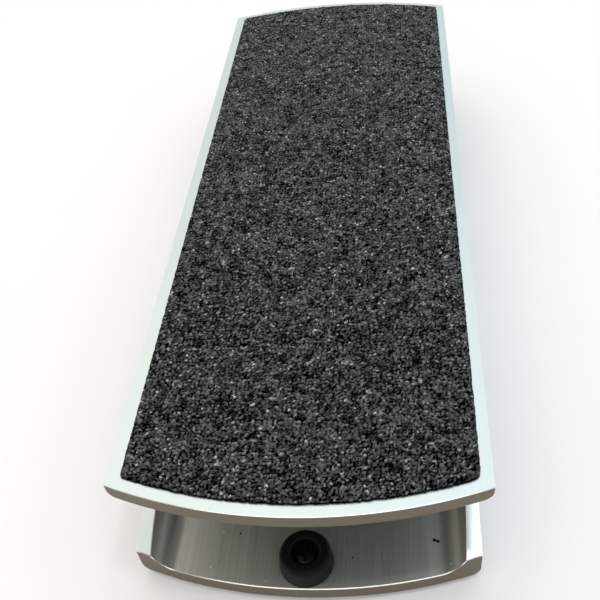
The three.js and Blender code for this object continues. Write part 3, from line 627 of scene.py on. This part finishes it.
def plate_station(y):
    bottom = PLATE_TOP - PLATE_THICKNESS
    flat = np.linspace(0, PLATE_HALF_WIDTH - PLATE_ROUND, SPAN_POINTS)
    under = np.column_stack((flat, np.full(SPAN_POINTS, bottom)))
    centre = (PLATE_HALF_WIDTH - PLATE_ROUND, bottom + PLATE_ROUND)
    side = arc_points(centre, PLATE_ROUND, -90, 0, ARC_POINTS)[1:]
    outer = np.vstack((under, side, [[PLATE_HALF_WIDTH, PLATE_TOP - PLATE_CHAMFER]]))
    rim = np.linspace(PLATE_HALF_WIDTH - PLATE_ROUND, PLATE_HALF_WIDTH - PLATE_CHAMFER, ARC_POINTS + 1)[1:]
    across = np.concatenate((flat, rim))
    inner = np.column_stack((across, np.full(len(across), PLATE_TOP)))
    return outer, inner


def plate_kind(k, half):
    """Broken edges along both sides of the top, plain skin elsewhere."""
    return 1 if k in (half - 1, 3 * half - 2) else 0


def add_plate():
    materials = [LOOKS["satin_aluminium"], EDGE_ALUMINIUM_PAINTED_HIGHLIGHT, SAWN_ALUMINIUM_PAINTED_REFLECTION]
    piece = bar_piece(
        "treadle_skin", plate_station, PLATE_HALF_LENGTH, PLATE_CHAMFER, 40, plate_kind, materials,
        tilted=True)
    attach(piece, "treadle")
    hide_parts("treadle_plate")


add_base()
add_plate()

# ---- Bumpers ----

BUMPER_HEIGHT = 5.5
BUMPER_SEAT = 1.6  # floor of the recess above the channel floor


def add_bumpers():
    corners = [
        (SCREW_HOLE, 0), (6.9, 0), (6.3, 4.9), (5.7, BUMPER_HEIGHT),
        (3.9, BUMPER_HEIGHT), (3.4, 4.9), (3.5, BUMPER_SEAT), (SCREW_HOLE, BUMPER_SEAT),
    ]
    profile = rounded(corners, [0, 0.25, 0.7, 0.4, 0.35, 0.4, 0.3, 0])
    for end, y in (("heel", -BUMPER_Y), ("toe", BUMPER_Y)):
        piece = lathe_piece(f"{end}_stop", profile, (0, y, FLOOR_TOP + 0.1), LOOKS["black_rubber"])
        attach(piece, "base")
        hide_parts(f"{end}_bumper")


add_bumpers()

# ---- Grit sheet ----

GRIP_THICKNESS = 1.2  # crowns of the tallest grains
GRIP_BACKING = 0.35  # lowest pits between the grains
GRIP_HALF_WIDTH = PLATE_HALF_WIDTH - GRIP_MARGIN
GRIP_HALF_LENGTH = PLATE_HALF_LENGTH - GRIP_MARGIN
GRIP_SEAT = PLATE_TOP + 0.1
GRIP_STEP = 0.34
GRIP_CORNER = 0.4
GRIP_WORN_CORNER = 2.0  # the near right corner is cut rounder
GRIP_EDGE_SLOPE = 0.9  # crumbs are lower this close to the cut edge
GRAIN_PITCH = 1.0
FIELD_SHIFT = (60, 140)  # keeps the random fields' coordinates above zero


def grain_heights(x, y, pitch, seed):
    """Rounded crumbs on a jittered grid, from 0 in the gaps to 1 on a crown."""
    random = np.random.default_rng(seed)
    x, y = x + FIELD_SHIFT[0], y + FIELD_SHIFT[1]
    column = np.floor(x / pitch).astype(int)
    row = np.floor(y / pitch).astype(int)
    column0, row0 = column.min() - 2, row.min() - 2
    shape = (column.max() - column0 + 3, row.max() - row0 + 3)
    jitter_x = random.uniform(0.08, 0.92, shape)
    jitter_y = random.uniform(0.08, 0.92, shape)
    size = random.uniform(0.55, 1.0, shape)
    nearest = np.full(x.shape, 9.0)
    second = np.full(x.shape, 9.0)
    crown = np.zeros(x.shape)
    for dx in (-1, 0, 1):
        for dy in (-1, 0, 1):
            i = column + dx - column0
            j = row + dy - row0
            away = np.hypot(
                (column + dx + jitter_x[i, j]) - x / pitch,
                (row + dy + jitter_y[i, j]) - y / pitch,
            )
            closer = away < nearest
            second = np.where(closer, nearest, np.minimum(second, away))
            crown = np.where(closer, size[i, j], crown)
            nearest = np.where(closer, away, nearest)
    wall = np.clip((second - nearest) / 0.45, 0, 1)
    dome = np.sqrt(np.clip(1 - (nearest / 0.95) ** 2, 0, 1))
    return crown * wall * (2 - wall) * (0.55 + 0.45 * dome)


def smooth_field(x, y, pitch, seed):
    """A smooth random field from -1 to 1 whose lumps are about pitch across."""
    random = np.random.default_rng(seed)
    u, v = (x + FIELD_SHIFT[0]) / pitch, (y + FIELD_SHIFT[1]) / pitch
    i, j = np.floor(u).astype(int), np.floor(v).astype(int)
    table = random.uniform(-1, 1, (i.max() - i.min() + 2, j.max() - j.min() + 2))
    i0, j0 = i - i.min(), j - j.min()
    s, t = u - i, v - j
    s, t = s * s * (3 - 2 * s), t * t * (3 - 2 * t)
    near = table[i0, j0] * (1 - s) + table[i0 + 1, j0] * s
    far = table[i0, j0 + 1] * (1 - s) + table[i0 + 1, j0 + 1] * s
    return near * (1 - t) + far * t


def corner_cut(across, radius):
    """How much shorter the sheet is at each x, where its corners are rounded."""
    into = np.clip(radius - (GRIP_HALF_WIDTH - np.abs(across)), 0, radius)
    return radius - np.sqrt(radius**2 - into**2)


def add_grit_sheet():
    columns = int(2 * GRIP_HALF_WIDTH / GRIP_STEP) + 1
    rows = int(2 * GRIP_HALF_LENGTH / GRIP_STEP) + 1
    across = np.linspace(-GRIP_HALF_WIDTH, GRIP_HALF_WIDTH, columns)
    along = np.linspace(-1, 1, rows)
    reach = arc_reach(across, GRIP_HALF_LENGTH, END_RADIUS - GRIP_MARGIN)
    near = reach - corner_cut(across, np.where(across > 0, GRIP_WORN_CORNER, GRIP_CORNER))
    far = reach - corner_cut(across, GRIP_CORNER)
    reach = np.where(along[None, :] < 0, near[:, None], far[:, None])
    x = np.repeat(across[:, None], rows, 1)
    y = along[None, :] * reach
    # The cut edge is a little ragged: grains there are broken off.
    at_side = np.abs(x) > GRIP_HALF_WIDTH - 0.01
    at_end = (np.abs(along) > 0.9999)[None, :]
    x = x + at_side * -np.sign(x) * np.abs(smooth_field(x, y, 0.8, 5)) * 0.3
    y = y + at_end * -np.sign(y) * np.abs(smooth_field(x, y, 0.8, 6)) * 0.3
    warp_x = x + 0.35 * smooth_field(x, y, 0.9, 11) + 0.15 * smooth_field(x, y, 0.45, 12)
    warp_y = y + 0.35 * smooth_field(x, y, 0.9, 13) + 0.15 * smooth_field(x, y, 0.45, 14)
    coarse = grain_heights(warp_x, warp_y, GRAIN_PITCH, 21)
    fine = grain_heights(warp_x, warp_y, GRAIN_PITCH * 0.58, 22)
    lumps = 0.5 + 0.5 * smooth_field(x, y, 2.2, 23)
    height = np.maximum(coarse, 0.62 * fine) * (0.72 + 0.28 * lumps)
    from_edge = np.minimum(GRIP_HALF_WIDTH - np.abs(x), reach - np.abs(y))
    worn = height * np.clip(0.3 + from_edge / GRIP_EDGE_SLOPE, 0.3, 1)
    z = GRIP_SEAT + GRIP_BACKING + (GRIP_THICKNESS - GRIP_BACKING) * worn
    top = np.column_stack((x.ravel() + GRIP_OFFSET[0], y.ravel() + GRIP_OFFSET[1], z.ravel()))
    faces, index = grid_faces(columns, rows)
    rim = np.concatenate((index[:, 0], index[-1, 1:], index[-2::-1, -1], index[0, -2:0:-1]))
    foot = top[rim].copy()
    foot[:, 2] = GRIP_SEAT
    first = len(top)
    count = len(rim)
    skirt = [
        (rim[(k + 1) % count], rim[k], first + k, first + (k + 1) % count) for k in range(count)
    ]
    bottom = [tuple(range(first + count - 1, first - 1, -1))]
    vertices = np.vstack((top, foot))
    piece = mesh_piece("grit_sheet", vertices, [*faces, *skirt, *bottom], [LOOKS["grit_sheet"]], tilted=True)
    # Crumb heights go to the grit material, which paints low pits near-black as shade; the skirt's foot gets
    # 0, so the cut edge is painted near-black too.
    crown = piece.data.attributes.new("crown", "FLOAT", "POINT")
    crown_height = np.concatenate((height.ravel(), np.zeros(count)))
    crown.data.foreach_set("value", crown_height)
    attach(piece, "treadle")
    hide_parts("grip_sheet")


add_grit_sheet()

# ---- Stage ----


def add_floor():
    bpy.ops.mesh.primitive_plane_add(size=6)
    floor = bpy.context.object
    floor.name = "studio_floor"
    s = Shader("studio_floor")
    mottle = s.noise(scale=(0.01, 0.01, 0.01), frequency=1.0)
    s.colour(s.ramp(mottle, (0.0, (0.92, 0.87, 0.86)), (1.0, (0.95, 0.9, 0.89))))
    s.set(Roughness=0.9)
    floor.data.materials.append(s.material)


def add_light(name, place, target, size, power, tint=(1, 1, 1)):
    data = bpy.data.lights.new(name, "AREA")
    data.shape = "RECTANGLE"
    data.size, data.size_y = size
    data.energy = power
    data.color = tint
    light = bpy.data.objects.new(name, data)
    light.location = place
    light.rotation_euler = (Vector(target) - Vector(place)).to_track_quat("-Z", "Y").to_euler()
    bpy.context.scene.collection.objects.link(light)


def add_world():
    """Soft light from all round: dim in front, warmer on the left, cooler on the right."""
    world = bpy.data.worlds.new("studio")
    world.use_nodes = True
    tree = world.node_tree
    background = tree.nodes["Background"]
    place = tree.nodes.new("ShaderNodeTexCoord")
    axes = tree.nodes.new("ShaderNodeSeparateXYZ")
    tree.links.new(place.outputs["Generated"], axes.inputs["Vector"])
    tint = tree.nodes.new("ShaderNodeValToRGB")
    tint.color_ramp.elements[0].position = 0.32
    tint.color_ramp.elements[0].color = (1.0, 0.98, 0.91, 1)
    tint.color_ramp.elements[1].position = 0.56
    tint.color_ramp.elements[1].color = (0.85, 0.96, 1.0, 1)
    sideways = tree.nodes.new("ShaderNodeMapRange")
    sideways.inputs["From Min"].default_value = -1
    tree.links.new(axes.outputs["X"], sideways.inputs["Value"])
    tree.links.new(sideways.outputs["Result"], tint.inputs["Fac"])
    height = tree.nodes.new("ShaderNodeVectorMath")
    height.operation = "DOT_PRODUCT"
    height.inputs[1].default_value = (0, 0.35, 0.94)
    tree.links.new(place.outputs["Generated"], height.inputs[0])
    strength = tree.nodes.new("ShaderNodeMapRange")
    for name, value in (("From Min", -0.1), ("From Max", 0.6), ("To Min", 0.17), ("To Max", 1.12)):
        strength.inputs[name].default_value = value
    tree.links.new(height.outputs["Value"], strength.inputs["Value"])
    tree.links.new(tint.outputs["Color"], background.inputs["Color"])
    tree.links.new(strength.outputs["Result"], background.inputs["Strength"])
    bpy.context.scene.world = world


def add_lights():
    add_world()
    add_light("key", (-0.15, 0.45, 1.15), (0, 0, 0), (1.0, 1.0), 1.5, (1, 0.99, 0.96))
    add_light("front", (0.05, -1.1, 0.62), (0, -0.1, 0), (1.4, 0.3), 1.6)
    add_light("sparkle", (0.3, -0.1, 1.5), (0, 0, 0), (0.12, 0.12), 2)


add_floor()
add_lights()
bpy.context.scene.view_settings.view_transform = "Standard"
